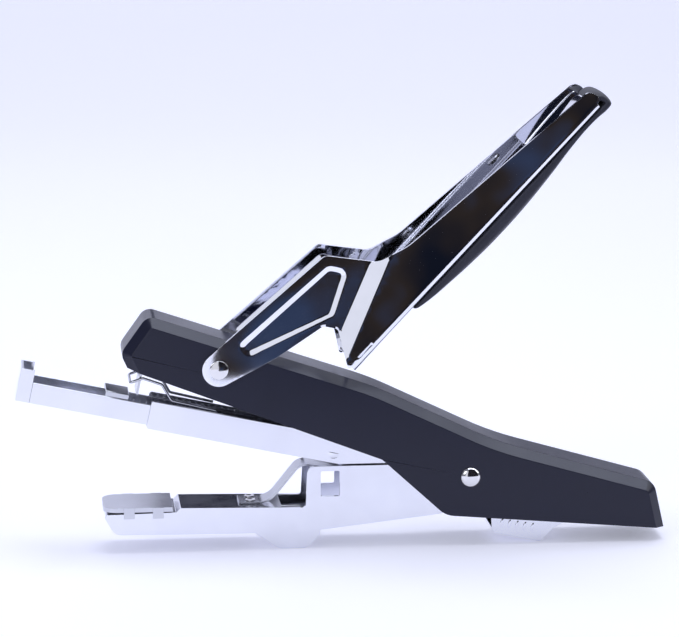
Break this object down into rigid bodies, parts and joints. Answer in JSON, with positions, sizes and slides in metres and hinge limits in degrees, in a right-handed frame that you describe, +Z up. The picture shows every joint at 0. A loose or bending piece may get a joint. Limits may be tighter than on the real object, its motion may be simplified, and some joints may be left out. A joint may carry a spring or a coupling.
{
  "type": "plier stapler",
  "caption": "Hand-held plier stapler for paper, shown open for loading: black body, drawn-out staple magazine, anvil arm and swung-up chrome squeeze lever.",
  "frame": {"origin": "on the table plane under the middle of the object's bounding box, in its plane of symmetry", "axes": "+X towards the tail, +Y across, +Z up; the staple nose points to -X"},
  "size_m": [0.2175, 0.0282, 0.155],
  "materials": {
    "black_enamel": "satin black stoved enamel",
    "lever_chrome": "mirror chrome plate",
    "nickel_plate": "bright nickel plate",
    "hard_steel": "hardened steel, fine grained",
    "spring_steel": "drawn spring steel",
    "zinc_steel": "zinc plated",
    "polished_steel": "polished",
    "black_grip": "moulded black plastic, fine texture"
  },
  "bodies": {
    "body": {"body_cover": "black_enamel", "head_bracket": "zinc_steel", "driver_blade": "hard_steel", "blade_rivets": "zinc_steel", "rear_pivot_rivet": "polished_steel", "lever_pivot_pin": "polished_steel", "tail_bracket": "zinc_steel", "latch_pin": "polished_steel", "latch_spring": "spring_steel"},
    "magazine": {"magazine_channel": "nickel_plate", "pivot_spacer": "zinc_steel", "tray_stop": "zinc_steel", "magazine_bail": "spring_steel"},
    "tray": {"magazine_tray": "nickel_plate", "staple_guide": "nickel_plate", "pusher_spring": "spring_steel"},
    "pusher": {"staple_pusher": "nickel_plate"},
    "arm": {"anvil_arm": "nickel_plate", "anvil_plate": "hard_steel", "arm_foot": "nickel_plate", "arm_leaf_spring": "spring_steel", "leaf_spring_rivets": "polished_steel"},
    "lever": {"lever_shell": "lever_chrome", "lever_grip": "black_grip", "grip_rivets": "polished_steel"},
    "latch": {"release_latch": "nickel_plate"}
  },
  "joints": [
    {"name": "lever_swing", "type": "hinge", "parent": "body", "child": "lever", "pos_m": [-0.0419, 0, 0.0622], "axis": [0, -1, 0], "range_deg": [-2, 150]},
    {"name": "magazine_swing", "type": "hinge", "parent": "body", "child": "magazine", "pos_m": [0.0422, 0, 0.0237], "axis": [0, 1, 0], "range_deg": [0, 4], "stiffness_Nm_per_rad": 1.5, "springref_deg": -11.46, "deforming": ["magazine_bail"]},
    {"name": "arm_swing", "type": "hinge", "parent": "magazine", "child": "arm", "pos_m": [0.0422, 0, 0.0237], "axis": [0, 1, 0], "range_deg": [0, 13.4], "stiffness_Nm_per_rad": 1, "springref_deg": -14.32, "deforming": ["arm_leaf_spring"]},
    {"name": "tray_slide", "type": "slide", "parent": "magazine", "child": "tray", "axis": [0.9778, 0, -0.2096], "range_m": [0, 0.0368], "stiffness_N_per_m": 20, "springref_m": -0.02, "deforming": ["pusher_spring"]},
    {"name": "pusher_slide", "type": "slide", "parent": "tray", "child": "pusher", "axis": [-0.9778, 0, 0.2096], "range_m": [0, 0.022], "deforming": ["pusher_spring"]},
    {"name": "latch_press", "type": "hinge", "parent": "body", "child": "latch", "pos_m": [0.077, 0, 0.012], "axis": [0, 1, 0], "range_deg": [0, 6], "stiffness_Nm_per_rad": 1, "springref_deg": -8.59, "deforming": ["latch_spring"]}
  ]
}
